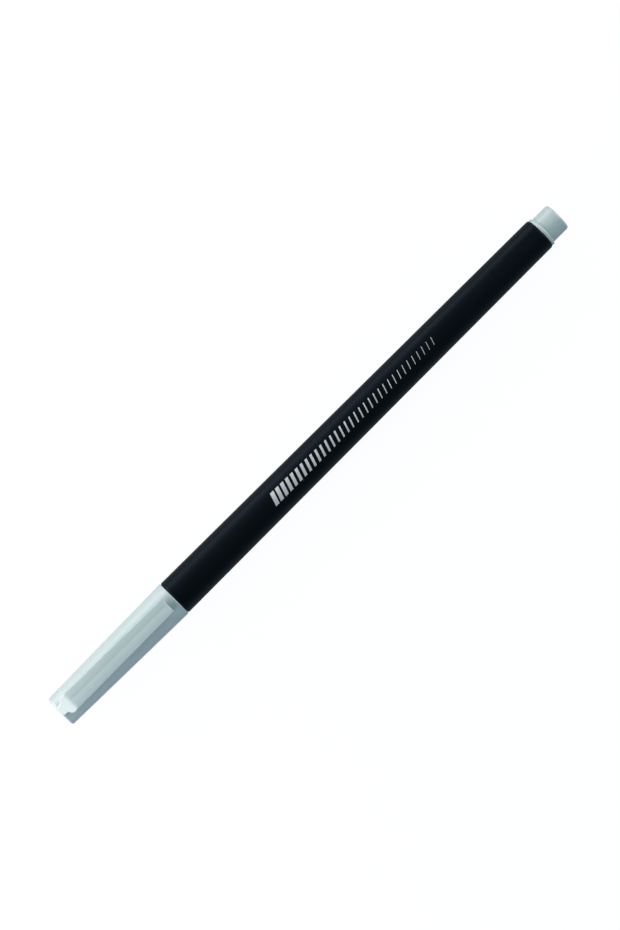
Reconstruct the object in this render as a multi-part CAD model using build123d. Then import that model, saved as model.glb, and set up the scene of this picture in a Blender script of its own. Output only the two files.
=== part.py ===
from build123d import *
import os

# A capped fineliner pen, in millimetres, with every piece in its place in the closed pen.
# The pen lies along X on the plane Z = 0, cap towards -X, tail towards +X, clip upwards.
# The origin is under the middle of its length.

# Barrel
BARREL_LENGTH = 121.65
BARREL_FRONT_DIAMETER = 9.4
BARREL_TAIL_DIAMETER = 8.4
BARREL_TAIL_WALL = 1.05
BARREL_FRONT_ROUNDING = 0.5
BARREL_TAIL_ROUNDING = 0.5
BARREL_REAR_SEAT_LENGTH = 8.0
BARREL_SPIGOT_STOP = 0.1
BARREL_RIB_COUNT = 6
BARREL_RIB_WIDTH = 0.7
BARREL_RIB_LENGTH = 60.0

# Cap shell
CAP_LENGTH = 37.6
CAP_OVERHANG = 0.1
CAP_END_DIAMETER = 8.3
CAP_WALL = 1.0
CAP_MOUTH_WALL = 1.0
CAP_END_WALL = 1.2
CAP_END_ROUNDING = 0.5
CAP_MOUTH_ROUNDING = 0.2
CAP_LEAD_IN = 0.2
CAP_BORE_DEPTH = 9.0
CAP_VENT_DIAMETER = 1.6
CAP_RIB_COUNT = 6
CAP_RIB_WIDTH = 0.7
CAP_RIB_LENGTH = 10.0
CAP_RIB_STANDOFF = 0.5

# Bridge at the cap's closed end, which carries the clip
BRIDGE_LENGTH = 4.7
BRIDGE_FOOT_HEIGHT = 0.4
BRIDGE_SLOPE_LENGTH = 3.7
BRIDGE_SLOPE_ROUNDING = 3.5
BRIDGE_SETBACK = 0.05
BRIDGE_ROOT_SHARE = 0.6

# Pocket clip
CLIP_GAP = 0.6
CLIP_THICKNESS = 1.1
CLIP_NECK_WIDTH = 2.7
CLIP_NECK_LENGTH = 1.5
CLIP_FLARE_LENGTH = 0.85
CLIP_ROOT_WIDTH = 5.0
CLIP_TIP_WIDTH = 4.4
CLIP_TIP_SETBACK = 2.1
CLIP_CORNER_ROUNDING = 0.4
CLIP_EDGE_ROUNDING = 0.3
CLIP_CREASE_DEPTH = 0.06
CLIP_CREASE_MARGIN = 0.4
CLIP_PAD_LENGTH = 3.2
CLIP_PAD_LEAD_LENGTH = 1.2
CLIP_PAD_ROUNDING = 0.8
CLIP_PAD_GAP = 0.2

# Inner cap, which seals the writing tip
INNER_CAP_AIR_GAP = 0.1
INNER_CAP_WALL = 0.45
INNER_CAP_END_WALL = 0.6
INNER_CAP_SEAL_COVER = 2.0
INNER_CAP_LEAD_IN = 0.2

# Grip section
SECTION_SPIGOT_LENGTH = 12.0
SECTION_SPIGOT_WALL = 0.5
SECTION_SPIGOT_LEAD_IN = 0.25
SECTION_SOCKET_OFFSET = 2.0
SECTION_SHOULDER = 0.25
SECTION_LAND_LENGTH = 1.2
SECTION_NECK_LENGTH = 8.5
SNAP_RING_HEIGHT = 0.15
SNAP_RING_WIDTH = 1.2
SNAP_RING_SETBACK = 1.5
SNAP_RING_ROUNDING = 1.0
GRIP_FRONT_ROUNDING = 0.25
SEAL_STEP = 0.3
SEAL_LENGTH = 3.0
NOSE_LENGTH = 6.5
NOSE_TIP_DIAMETER = 2.2
NOSE_TIP_ROUNDING = 0.2
AIR_GROOVE_COUNT = 3
AIR_GROOVE_WIDTH = 0.4
AIR_GROOVE_DEPTH = 0.35

# Writing tip
FERRULE_DIAMETER = 1.3
FERRULE_TIP_DIAMETER = 0.8
FERRULE_EXPOSED_LENGTH = 2.4
FERRULE_TAPER_LENGTH = 0.7
FERRULE_SEATED_LENGTH = 4.5
NIB_DIAMETER = 0.5
NIB_EXPOSED_LENGTH = 0.7
NIB_TIP_ROUNDING = 0.15
NIB_WICK_DEPTH = 3.0
TIP_CLEARANCE = 1.2

# Ink feed and store
WICK_DIAMETER = 2.0
WICK_RESERVOIR_DEPTH = 8.0
WICK_END_ROUNDING = 0.3
FILM_THICKNESS = 0.12

# End plug
FLANGE_INSET = 0.175
FLANGE_THICKNESS = 0.75
FLANGE_ROUNDING = 0.15
POST_CLEARANCE = 0.15
POST_LENGTH = 5.0
POST_ROUNDING = 0.5
POST_END_WALL = 1.2
PLUG_SPIGOT_LENGTH = 6.0
PLUG_LEG_LENGTH = 12.0
PLUG_LEG_THICKNESS = 0.7
PLUG_LEG_SLOT_WIDTH = 2.0
PLUG_SLOT_COUNT = 2

# Fits: radial play of each kind, and how far a cut runs past what it cuts
CAP_FIT_CLEARANCE = 0.05
PRESS_CLEARANCE = 0.02
SEAL_CLEARANCE = 0.03
SOCKET_CLEARANCE = 0.03
RESERVOIR_CLEARANCE = 0.2
OVERRUN = 1.0

FULL_TURN = 360
HALF_TURN = 180
UPWARD_SHARE = 0.5

# Stations along the pen
OVERALL_LENGTH = CAP_LENGTH + BARREL_LENGTH + FLANGE_THICKNESS + POST_LENGTH
X_CAP_END = -OVERALL_LENGTH / 2
X_MOUTH = X_CAP_END + CAP_LENGTH
X_TAIL = X_MOUTH + BARREL_LENGTH
X_FLANGE = X_TAIL + FLANGE_THICKNESS
X_POST_END = X_FLANGE + POST_LENGTH
X_CAP_FLOOR = X_CAP_END + CAP_END_WALL
X_INNER_CAP = X_CAP_FLOOR + CAP_RIB_STANDOFF
X_INNER_CAP_FLOOR = X_INNER_CAP + INNER_CAP_END_WALL
X_NIB_TIP = X_INNER_CAP_FLOOR + TIP_CLEARANCE
X_FERRULE_TIP = X_NIB_TIP + NIB_EXPOSED_LENGTH
X_NOSE_TIP = X_FERRULE_TIP + FERRULE_EXPOSED_LENGTH
X_FERRULE_REAR = X_NOSE_TIP + FERRULE_SEATED_LENGTH
X_SEAL_FRONT = X_NOSE_TIP + NOSE_LENGTH
X_SEAL_REAR = X_SEAL_FRONT + SEAL_LENGTH
X_INNER_CAP_MOUTH = X_SEAL_FRONT + INNER_CAP_SEAL_COVER
X_NECK_FRONT = X_MOUTH - SECTION_NECK_LENGTH
X_SPIGOT_REAR = X_MOUTH + SECTION_SPIGOT_LENGTH
X_RESERVOIR_FRONT = X_MOUTH + SECTION_SOCKET_OFFSET
X_WICK_REAR = X_RESERVOIR_FRONT + WICK_RESERVOIR_DEPTH
X_PLUG_SPIGOT = X_TAIL - PLUG_SPIGOT_LENGTH
X_RESERVOIR_REAR = X_PLUG_SPIGOT - PLUG_LEG_LENGTH
X_REAR_SEAT = X_TAIL - BARREL_REAR_SEAT_LENGTH
X_BRIDGE = X_CAP_END + BRIDGE_SETBACK
X_CLIP_SPLIT = X_CAP_END + BRIDGE_LENGTH
X_CLIP_TIP = X_MOUTH - CLIP_TIP_SETBACK

# Radii, each worked out from the piece that it fits
BARREL_FRONT_RADIUS = BARREL_FRONT_DIAMETER / 2
BARREL_TAIL_RADIUS = BARREL_TAIL_DIAMETER / 2
CAP_MOUTH_RADIUS = BARREL_FRONT_RADIUS + CAP_OVERHANG
CAP_END_RADIUS = CAP_END_DIAMETER / 2
CAP_BORE_RADIUS = CAP_MOUTH_RADIUS - CAP_MOUTH_WALL
CAP_FLOOR_RADIUS = CAP_END_RADIUS - CAP_WALL
INNER_CAP_RADIUS = CAP_FLOOR_RADIUS - INNER_CAP_AIR_GAP
INNER_CAP_BORE_RADIUS = INNER_CAP_RADIUS - INNER_CAP_WALL
SEAL_RADIUS = INNER_CAP_BORE_RADIUS - SEAL_CLEARANCE
LAND_RADIUS = CAP_BORE_RADIUS - CAP_FIT_CLEARANCE
NECK_RADIUS = LAND_RADIUS - SNAP_RING_HEIGHT
FRONT_SEAT_RADIUS = LAND_RADIUS - SECTION_SHOULDER
SPIGOT_RADIUS = FRONT_SEAT_RADIUS - PRESS_CLEARANCE
REAR_SEAT_RADIUS = BARREL_TAIL_RADIUS - BARREL_TAIL_WALL
PLUG_SPIGOT_RADIUS = REAR_SEAT_RADIUS - PRESS_CLEARANCE
POST_RADIUS = CAP_BORE_RADIUS - POST_CLEARANCE
FLANGE_RADIUS = BARREL_TAIL_RADIUS - FLANGE_INSET
WICK_RADIUS = WICK_DIAMETER / 2
WICK_BORE_RADIUS = WICK_RADIUS + SOCKET_CLEARANCE
FERRULE_RADIUS = FERRULE_DIAMETER / 2
NIB_RADIUS = NIB_DIAMETER / 2

# The ink store passes the tighter of the section's socket and the barrel's rear seat
SOCKET_ROOM = SPIGOT_RADIUS - SECTION_SPIGOT_WALL - SOCKET_CLEARANCE
REAR_SEAT_ROOM = REAR_SEAT_RADIUS - RESERVOIR_CLEARANCE
RESERVOIR_RADIUS = min(SOCKET_ROOM, REAR_SEAT_ROOM)
FILM_BORE_RADIUS = RESERVOIR_RADIUS - FILM_THICKNESS
PLUG_HOLLOW_RADIUS = RESERVOIR_RADIUS - PLUG_LEG_THICKNESS

# Heights: the pen rests on its widest ring, the mouth of the cap
AXIS_HEIGHT = CAP_MOUTH_RADIUS
CLIP_UNDERSIDE = AXIS_HEIGHT + CAP_MOUTH_RADIUS + CLIP_GAP
CLIP_TOP = CLIP_UNDERSIDE + CLIP_THICKNESS
CLIP_PAD_HEIGHT = AXIS_HEIGHT + CAP_MOUTH_RADIUS + CLIP_PAD_GAP
BRIDGE_FOOT = AXIS_HEIGHT + CAP_END_RADIUS + BRIDGE_FOOT_HEIGHT
BRIDGE_ROOT = AXIS_HEIGHT + CAP_END_RADIUS * BRIDGE_ROOT_SHARE

PEN_AXIS = Axis((0, 0, AXIS_HEIGHT), (1, 0, 0))


def rounded_face(corners):
    """Face inside a closed outline of (x, y, rounding) corners."""
    points = [(x, y) for x, y, rounding in corners]
    roundings = [rounding for x, y, rounding in corners]
    if any(roundings):
        return make_face(FilletPolyline(*points, radius=roundings, close=True))
    return make_face(Polyline(*points, close=True))


def turned(corners):
    """Solid of revolution about the pen's axis, from (x, radius, rounding) corners, with its seam underneath."""
    hanging = [(x, AXIS_HEIGHT - radius, rounding) for x, radius, rounding in corners]
    return revolve(Plane.XZ * rounded_face(hanging), axis=PEN_AXIS)


def rod(x_start, x_end, radius):
    """Plain cylinder on the pen's axis."""
    return turned([(x_start, 0, 0), (x_end, 0, 0), (x_end, radius, 0), (x_start, radius, 0)])


def spokes(count, turn=FULL_TURN):
    """Places spread evenly about the pen's axis, local Z pointing outwards."""
    return [Pos(0, 0, AXIS_HEIGHT) * Rot(turn * index / count, 0, 0) for index in range(count)]


def fin(x_start, x_end, width, inner, outer):
    """Flat bar along the pen that stands out from one radius to another, on the local Z side."""
    block = Box(x_end - x_start, width, outer - inner, align=(Align.MIN, Align.CENTER, Align.MIN))
    return Pos(x_start, 0, inner) * block


def bore_radius(x):
    """Radius of the barrel's tapering bore between its two seats."""
    front = FRONT_SEAT_RADIUS - BARREL_SPIGOT_STOP
    along_share = (x - X_SPIGOT_REAR) / (X_REAR_SEAT - X_SPIGOT_REAR)
    return front + (REAR_SEAT_RADIUS - front) * along_share


def make_barrel():
    """Tapered tube with a seat at each end and ribs that centre the ink store."""
    shell = turned([
        (X_MOUTH, BARREL_FRONT_RADIUS, BARREL_FRONT_ROUNDING),
        (X_TAIL, BARREL_TAIL_RADIUS, BARREL_TAIL_ROUNDING),
        (X_TAIL, REAR_SEAT_RADIUS, 0),
        (X_REAR_SEAT, REAR_SEAT_RADIUS, 0),
        (X_SPIGOT_REAR, bore_radius(X_SPIGOT_REAR), 0),
        (X_SPIGOT_REAR, FRONT_SEAT_RADIUS, 0),
        (X_MOUTH, FRONT_SEAT_RADIUS, 0),
    ])
    x_start = X_SPIGOT_REAR
    x_end = x_start + BARREL_RIB_LENGTH
    rib = fin(x_start, x_end, BARREL_RIB_WIDTH, 0, FRONT_SEAT_RADIUS)
    ribs = Part() + [spoke * rib for spoke in spokes(BARREL_RIB_COUNT)]
    return shell + (ribs - rod(x_start - OVERRUN, x_end + OVERRUN, RESERVOIR_RADIUS + SOCKET_CLEARANCE))


def clip_blank():
    """Bridge and clip as one moulding, before the springing bar is parted from the bridge."""
    x_neck = X_CAP_END + CLIP_NECK_LENGTH
    x_flare = x_neck + CLIP_FLARE_LENGTH
    side = [
        (X_BRIDGE, CLIP_NECK_WIDTH / 2, 0),
        (x_neck, CLIP_NECK_WIDTH / 2, CLIP_CORNER_ROUNDING),
        (x_flare, CLIP_ROOT_WIDTH / 2, CLIP_CORNER_ROUNDING),
        (X_CLIP_TIP, CLIP_TIP_WIDTH / 2, CLIP_CORNER_ROUNDING),
    ]
    other_side = [(x, -y, rounding) for x, y, rounding in reversed(side)]
    plan = Pos(0, 0, AXIS_HEIGHT) * rounded_face(side + other_side)
    elevation = rounded_face([
        (X_BRIDGE, BRIDGE_ROOT, 0),
        (X_BRIDGE, BRIDGE_FOOT, 0),
        (X_CAP_END + BRIDGE_SLOPE_LENGTH, CLIP_TOP, BRIDGE_SLOPE_ROUNDING),
        (X_CLIP_TIP, CLIP_TOP, 0),
        (X_CLIP_TIP, CLIP_UNDERSIDE, 0),
        (X_CLIP_TIP - CLIP_PAD_LEAD_LENGTH, CLIP_PAD_HEIGHT, CLIP_PAD_ROUNDING),
        (X_CLIP_TIP - CLIP_PAD_LENGTH, CLIP_UNDERSIDE, CLIP_PAD_ROUNDING),
        (X_CLIP_SPLIT, CLIP_UNDERSIDE, 0),
        (X_CLIP_SPLIT, BRIDGE_ROOT, 0),
    ])
    upright = extrude(plan, amount=CLIP_TOP)
    across = extrude(Plane.XZ * elevation, amount=CLIP_ROOT_WIDTH, both=True)
    blank = upright & across
    tops = [face for face in blank.faces() if face.normal_at().Z > UPWARD_SHARE]
    top_edges = [edge for face in tops for edge in face.edges()]
    rim = [edge for edge in top_edges if top_edges.count(edge) == 1]
    return fillet(rim, CLIP_EDGE_ROUNDING) - crease_cutter()


def crease_cutter():
    """Shallow V that leaves a lengthwise crease along the middle of the clip's top."""
    half_width = CLIP_TIP_WIDTH / 2 - CLIP_CREASE_MARGIN
    reach = half_width * (CLIP_CREASE_DEPTH + OVERRUN) / CLIP_CREASE_DEPTH
    section = make_face(Polyline(
        (0, CLIP_TOP - CLIP_CREASE_DEPTH),
        (reach, CLIP_TOP + OVERRUN),
        (-reach, CLIP_TOP + OVERRUN),
        close=True,
    ))
    start = Plane(origin=(X_CAP_END, 0, 0), x_dir=(0, 1, 0), z_dir=(1, 0, 0))
    return extrude(start * section, amount=CAP_LENGTH)


def make_cap_shell(blank):
    """Tapered cap with its bridge, closed end, vent hole and the ribs that hold the inner cap."""
    outside = turned([
        (X_CAP_END, 0, 0),
        (X_MOUTH, 0, 0),
        (X_MOUTH, CAP_MOUTH_RADIUS, CAP_MOUTH_ROUNDING),
        (X_CAP_END, CAP_END_RADIUS, CAP_END_ROUNDING),
    ])
    cavity = turned([
        (X_CAP_FLOOR, 0, 0),
        (X_MOUTH + OVERRUN, 0, 0),
        (X_MOUTH + OVERRUN, CAP_BORE_RADIUS + CAP_LEAD_IN, 0),
        (X_MOUTH, CAP_BORE_RADIUS + CAP_LEAD_IN, 0),
        (X_MOUTH - CAP_LEAD_IN, CAP_BORE_RADIUS, 0),
        (X_MOUTH - CAP_BORE_DEPTH, CAP_BORE_RADIUS, 0),
        (X_CAP_FLOOR, CAP_FLOOR_RADIUS, 0),
    ])
    vent = rod(X_CAP_END - OVERRUN, X_CAP_FLOOR + OVERRUN, CAP_VENT_DIAMETER / 2)
    bridge = split(blank, bisect_by=Plane(origin=(X_CLIP_SPLIT, 0, 0), z_dir=(1, 0, 0)), keep=Keep.BOTTOM)
    shell = outside + bridge - cavity - vent
    rib = fin(X_CAP_FLOOR, X_CAP_FLOOR + CAP_RIB_LENGTH, CAP_RIB_WIDTH, CAP_VENT_DIAMETER, CAP_BORE_RADIUS)
    pocket = rod(X_INNER_CAP, X_MOUTH, INNER_CAP_RADIUS + PRESS_CLEARANCE)
    ribs = Part() + [spoke * rib for spoke in spokes(CAP_RIB_COUNT)]
    return shell + (ribs & outside_of_wall()) - pocket


def outside_of_wall():
    """Envelope half way through the cap's wall, which the ribs are trimmed to."""
    return turned([
        (X_CAP_FLOOR - CAP_END_WALL / 2, 0, 0),
        (X_MOUTH, 0, 0),
        (X_MOUTH, CAP_MOUTH_RADIUS - CAP_MOUTH_WALL / 2, 0),
        (X_CAP_FLOOR - CAP_END_WALL / 2, CAP_END_RADIUS - CAP_WALL / 2, 0),
    ])


def make_pocket_clip(blank):
    """Springing bar of the clip, parted from the bridge where it bends."""
    return split(blank, bisect_by=Plane(origin=(X_CLIP_SPLIT, 0, 0), z_dir=(1, 0, 0)), keep=Keep.TOP)


def make_inner_cap():
    """Thin liner whose mouth closes on the section's sealing land."""
    return turned([
        (X_INNER_CAP, 0, 0),
        (X_INNER_CAP, INNER_CAP_RADIUS, 0),
        (X_INNER_CAP_MOUTH, INNER_CAP_RADIUS, 0),
        (X_INNER_CAP_MOUTH, INNER_CAP_BORE_RADIUS + INNER_CAP_LEAD_IN, 0),
        (X_INNER_CAP_MOUTH - INNER_CAP_LEAD_IN, INNER_CAP_BORE_RADIUS, 0),
        (X_INNER_CAP_FLOOR, INNER_CAP_BORE_RADIUS, 0),
        (X_INNER_CAP_FLOOR, 0, 0),
    ])


def make_grip_section():
    """Front moulding: spigot in the barrel, neck that holds the cap, tapered grip, seal land and nose."""
    x_land = X_MOUTH - SECTION_LAND_LENGTH
    x_ring_front = X_NECK_FRONT + SNAP_RING_SETBACK
    x_ring_rear = x_ring_front + SNAP_RING_WIDTH
    x_ring_top = (x_ring_front + x_ring_rear) / 2
    socket_radius = RESERVOIR_RADIUS + SOCKET_CLEARANCE
    ferrule_bore_radius = FERRULE_RADIUS + PRESS_CLEARANCE
    body = turned([
        (X_SPIGOT_REAR, SPIGOT_RADIUS - SECTION_SPIGOT_LEAD_IN, 0),
        (X_SPIGOT_REAR - SECTION_SPIGOT_LEAD_IN, SPIGOT_RADIUS, 0),
        (X_MOUTH, SPIGOT_RADIUS, 0),
        (X_MOUTH, LAND_RADIUS, 0),
        (x_land, LAND_RADIUS, 0),
        (x_land, NECK_RADIUS, 0),
        (x_ring_rear, NECK_RADIUS, 0),
        (x_ring_top, LAND_RADIUS, SNAP_RING_ROUNDING),
        (x_ring_front, NECK_RADIUS, 0),
        (X_NECK_FRONT, NECK_RADIUS, 0),
        (X_SEAL_REAR, SEAL_RADIUS + SEAL_STEP, GRIP_FRONT_ROUNDING),
        (X_SEAL_REAR, SEAL_RADIUS, 0),
        (X_SEAL_FRONT, SEAL_RADIUS, 0),
        (X_NOSE_TIP, NOSE_TIP_DIAMETER / 2, NOSE_TIP_ROUNDING),
        (X_NOSE_TIP, ferrule_bore_radius, 0),
        (X_FERRULE_REAR, ferrule_bore_radius, 0),
        (X_FERRULE_REAR, WICK_BORE_RADIUS, 0),
        (X_RESERVOIR_FRONT, WICK_BORE_RADIUS, 0),
        (X_RESERVOIR_FRONT, socket_radius, 0),
        (X_SPIGOT_REAR, socket_radius, 0),
    ])
    groove = fin(
        X_FERRULE_REAR, X_RESERVOIR_FRONT + OVERRUN, AIR_GROOVE_WIDTH, 0, WICK_BORE_RADIUS + AIR_GROOVE_DEPTH
    )
    return body - [spoke * groove for spoke in spokes(AIR_GROOVE_COUNT)]


def make_nib_ferrule():
    """Metal tube that stiffens the nib, drawn in at its tip."""
    bore_radius_at_nib = NIB_RADIUS + PRESS_CLEARANCE
    return turned([
        (X_FERRULE_TIP, bore_radius_at_nib, 0),
        (X_FERRULE_TIP, FERRULE_TIP_DIAMETER / 2, 0),
        (X_FERRULE_TIP + FERRULE_TAPER_LENGTH, FERRULE_RADIUS, 0),
        (X_FERRULE_REAR, FERRULE_RADIUS, 0),
        (X_FERRULE_REAR, bore_radius_at_nib, 0),
    ])


def make_nib():
    """Capillary point that runs through the ferrule into the wick."""
    x_rear = X_FERRULE_REAR + NIB_WICK_DEPTH
    return turned([
        (X_NIB_TIP, 0, 0),
        (x_rear, 0, 0),
        (x_rear, NIB_RADIUS, 0),
        (X_NIB_TIP, NIB_RADIUS, NIB_TIP_ROUNDING),
    ])


def make_feed_wick():
    """Fibre rod that carries ink from the store to the nib."""
    socket_radius = NIB_RADIUS + PRESS_CLEARANCE
    rod_body = turned([
        (X_FERRULE_REAR, 0, 0),
        (X_WICK_REAR, 0, 0),
        (X_WICK_REAR, WICK_RADIUS, WICK_END_ROUNDING),
        (X_FERRULE_REAR, WICK_RADIUS, 0),
    ])
    return rod_body - rod(X_FERRULE_REAR - OVERRUN, X_FERRULE_REAR + NIB_WICK_DEPTH, socket_radius)


def make_ink_reservoir():
    """Fibre core of the ink store, pierced at the front by the wick."""
    core = rod(X_RESERVOIR_FRONT, X_RESERVOIR_REAR, FILM_BORE_RADIUS - PRESS_CLEARANCE)
    return core - rod(X_RESERVOIR_FRONT - OVERRUN, X_WICK_REAR, WICK_RADIUS + PRESS_CLEARANCE)


def make_reservoir_film():
    """Film sleeve round the ink store."""
    sleeve = rod(X_RESERVOIR_FRONT, X_RESERVOIR_REAR, RESERVOIR_RADIUS)
    return sleeve - rod(X_RESERVOIR_FRONT - OVERRUN, X_RESERVOIR_REAR + OVERRUN, FILM_BORE_RADIUS)


def make_end_plug():
    """Plug that closes the tail: post for the cap, flange, spigot and the legs that hold the ink store."""
    body = turned([
        (X_RESERVOIR_REAR, PLUG_HOLLOW_RADIUS, 0),
        (X_RESERVOIR_REAR, RESERVOIR_RADIUS, 0),
        (X_PLUG_SPIGOT, RESERVOIR_RADIUS, 0),
        (X_PLUG_SPIGOT, PLUG_SPIGOT_RADIUS, 0),
        (X_TAIL, PLUG_SPIGOT_RADIUS, 0),
        (X_TAIL, FLANGE_RADIUS, FLANGE_ROUNDING),
        (X_FLANGE, FLANGE_RADIUS, FLANGE_ROUNDING),
        (X_FLANGE, POST_RADIUS, 0),
        (X_POST_END, POST_RADIUS, POST_ROUNDING),
        (X_POST_END, 0, 0),
        (X_POST_END - POST_END_WALL, 0, 0),
        (X_POST_END - POST_END_WALL, PLUG_HOLLOW_RADIUS, 0),
    ])
    slot = fin(X_RESERVOIR_REAR - OVERRUN, X_PLUG_SPIGOT, PLUG_LEG_SLOT_WIDTH, -FLANGE_RADIUS, FLANGE_RADIUS)
    return body - [spoke * slot for spoke in spokes(PLUG_SLOT_COUNT, HALF_TURN)]


def main():
    """Build every piece and write one file for each."""
    blank = clip_blank()
    pieces = {
        "cap_shell": make_cap_shell(blank),
        "pocket_clip": make_pocket_clip(blank),
        "inner_cap": make_inner_cap(),
        "barrel": make_barrel(),
        "grip_section": make_grip_section(),
        "nib_ferrule": make_nib_ferrule(),
        "nib": make_nib(),
        "feed_wick": make_feed_wick(),
        "ink_reservoir": make_ink_reservoir(),
        "reservoir_film": make_reservoir_film(),
        "end_plug": make_end_plug(),
    }
    os.makedirs("parts", exist_ok=True)
    for name, piece in pieces.items():
        export_step(piece, f"parts/{name}.step")


main()
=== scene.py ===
"""Looks of a capped fineliner pen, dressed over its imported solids.

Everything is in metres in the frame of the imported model: the pen lies along X with its cap towards -X
and its clip up, and rests on Z = 0.
"""

import logging
from dataclasses import dataclass, replace
from enum import Enum
from typing import Any, Sequence, Union

import bpy
import numpy as np
from mathutils import Matrix, Vector


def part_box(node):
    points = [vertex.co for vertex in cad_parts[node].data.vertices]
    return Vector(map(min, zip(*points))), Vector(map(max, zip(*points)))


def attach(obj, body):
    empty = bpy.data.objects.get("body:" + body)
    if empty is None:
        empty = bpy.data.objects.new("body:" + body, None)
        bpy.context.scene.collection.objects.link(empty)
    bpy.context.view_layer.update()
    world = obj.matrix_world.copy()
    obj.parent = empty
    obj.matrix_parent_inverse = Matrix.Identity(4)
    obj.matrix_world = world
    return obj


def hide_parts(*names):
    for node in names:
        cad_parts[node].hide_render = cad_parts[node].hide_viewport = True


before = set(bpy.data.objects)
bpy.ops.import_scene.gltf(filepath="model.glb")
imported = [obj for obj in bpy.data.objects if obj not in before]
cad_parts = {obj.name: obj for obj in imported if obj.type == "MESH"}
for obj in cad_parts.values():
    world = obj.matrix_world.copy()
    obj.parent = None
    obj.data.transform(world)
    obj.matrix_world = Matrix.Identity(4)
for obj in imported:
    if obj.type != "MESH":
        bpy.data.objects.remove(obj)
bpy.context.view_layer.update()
LOG = logging.getLogger("fineliner")

Array = np.ndarray
Triple = tuple[float, float, float]
Colour = Triple
Span = tuple[float, float]

WHITE = (1.0, 1.0, 1.0)
NOISE_MIDDLE = 0.5

AROUND = 144
ARC_STEPS = 8
RIB_SECTIONS = 5
SHARP_ANGLE = np.radians(35)

# A held run has a point close to each of its ends, so it counts three points before its far corner.
HOLDING_DISTANCE = 0.00004
SHORTEST_HELD_RUN = 4 * HOLDING_DISTANCE
HELD_RUN_POINTS = 3

# Corners of a bar's section, in order: shares of its width across, and under or over its middle.
BAR_ACROSS = np.array([-0.5, 0.5, 0.5, -0.5])
BAR_UP = np.array([-1.0, -1.0, 1.0, 1.0])


class Body(Enum):
    """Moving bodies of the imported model."""

    PEN = "pen"
    CAP = "cap"
    CLIP = "clip"


class Slot(Enum):
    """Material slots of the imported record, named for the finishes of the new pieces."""

    PALE_PLASTIC = "pale_plastic"
    NATURAL_PLASTIC = "natural_plastic"
    SOFT_TOUCH = "soft_touch_black"
    SECTION = "section_black"
    FERRULE = "ferrule_steel"
    NIB = "nib_fibre"
    FOIL = "silver_foil"


# Shapes


@dataclass(frozen=True)
class Corner:
    """Corner of an outline: place along the pen, distance outwards and the radius that rounds it."""

    along: float
    out: float
    rounding: float = 0.0


@dataclass(frozen=True)
class Stretch:
    """Round stretch of a piece: its radius and its length along the pen."""

    radius: float
    length: float


@dataclass
class Shell:
    """Closed surface: its points, and its faces as rows of four and of three point numbers."""

    points: Array
    quads: Array
    triangles: Array


def corner_arc(before: Array, corner: Array, after: Array, radius: float) -> Array:
    """Arc that touches both runs of a corner.

    The centre lies on the corner's bisector, radius / sin(half the inner angle) from the corner, and the
    angle about it runs evenly between the two touching points.

    Args:
        before: point before the corner.
        corner: the corner itself.
        after: point after the corner.
        radius: radius of the arc.

    Returns:
        Points of the arc, one row each.
    """
    inward = (before - corner) / np.linalg.norm(before - corner)
    onward = (after - corner) / np.linalg.norm(after - corner)
    half_angle = np.arccos(np.clip(inward @ onward, -1.0, 1.0)) / 2
    bisector = (inward + onward) / np.linalg.norm(inward + onward)
    centre = corner + bisector * radius / np.sin(half_angle)
    reach = radius / np.tan(half_angle)
    start = corner + inward * reach - centre
    end = corner + onward * reach - centre
    first = np.arctan2(start[1], start[0])
    sweep = np.arctan2(end[1], end[0]) - first
    sweep = (sweep + np.pi) % (2 * np.pi) - np.pi
    angles = first + sweep * np.linspace(0.0, 1.0, ARC_STEPS + 1)
    return centre + radius * np.stack([np.cos(angles), np.sin(angles)], axis=1)


def trace(corners: Sequence[Corner], closed: bool = False) -> Array:
    """Outline through rounded corners, with holding points that keep the straight runs flat in shading.

    Args:
        corners: corners in order.
        closed: whether the last corner joins the first.

    Returns:
        Points of the outline, one row each.
    """
    spots = np.array([(corner.along, corner.out) for corner in corners])
    count = len(corners)
    runs = []
    for index, corner in enumerate(corners):
        is_end = not closed and index in (0, count - 1)
        if is_end or not corner.rounding:
            runs.append(spots[index: index + 1])
        else:
            after = spots[(index + 1) % count]
            runs.append(corner_arc(spots[index - 1], spots[index], after, corner.rounding))
    path = np.concatenate(runs)
    following = np.roll(path, -1, axis=0)
    lengths = np.linalg.norm(following - path, axis=1)
    holds = lengths > SHORTEST_HELD_RUN
    if not closed:
        holds[-1] = False
    step = (following - path) / np.maximum(lengths, HOLDING_DISTANCE)[:, None] * HOLDING_DISTANCE
    woven = np.stack([path, path + step, following - step], axis=1)
    keep = np.stack([np.ones_like(holds), holds, holds], axis=1)
    return woven[keep]


def turned(path: Array, axis_height: float) -> Array:
    """Surface of revolution: a point of the path at (x, r) goes to (x, r sin t, axis + r cos t).

    Args:
        path: outline as (place along the pen, radius) rows.
        axis_height: height of the pen's axis.

    Returns:
        Grid of points, one row for each point of the path.
    """
    angles = np.linspace(0.0, 2 * np.pi, AROUND, endpoint=False)
    along = np.repeat(path[:, :1], AROUND, axis=1)
    radius = path[:, 1:]
    return np.stack([along, radius * np.sin(angles), axis_height + radius * np.cos(angles)], axis=2)


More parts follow.
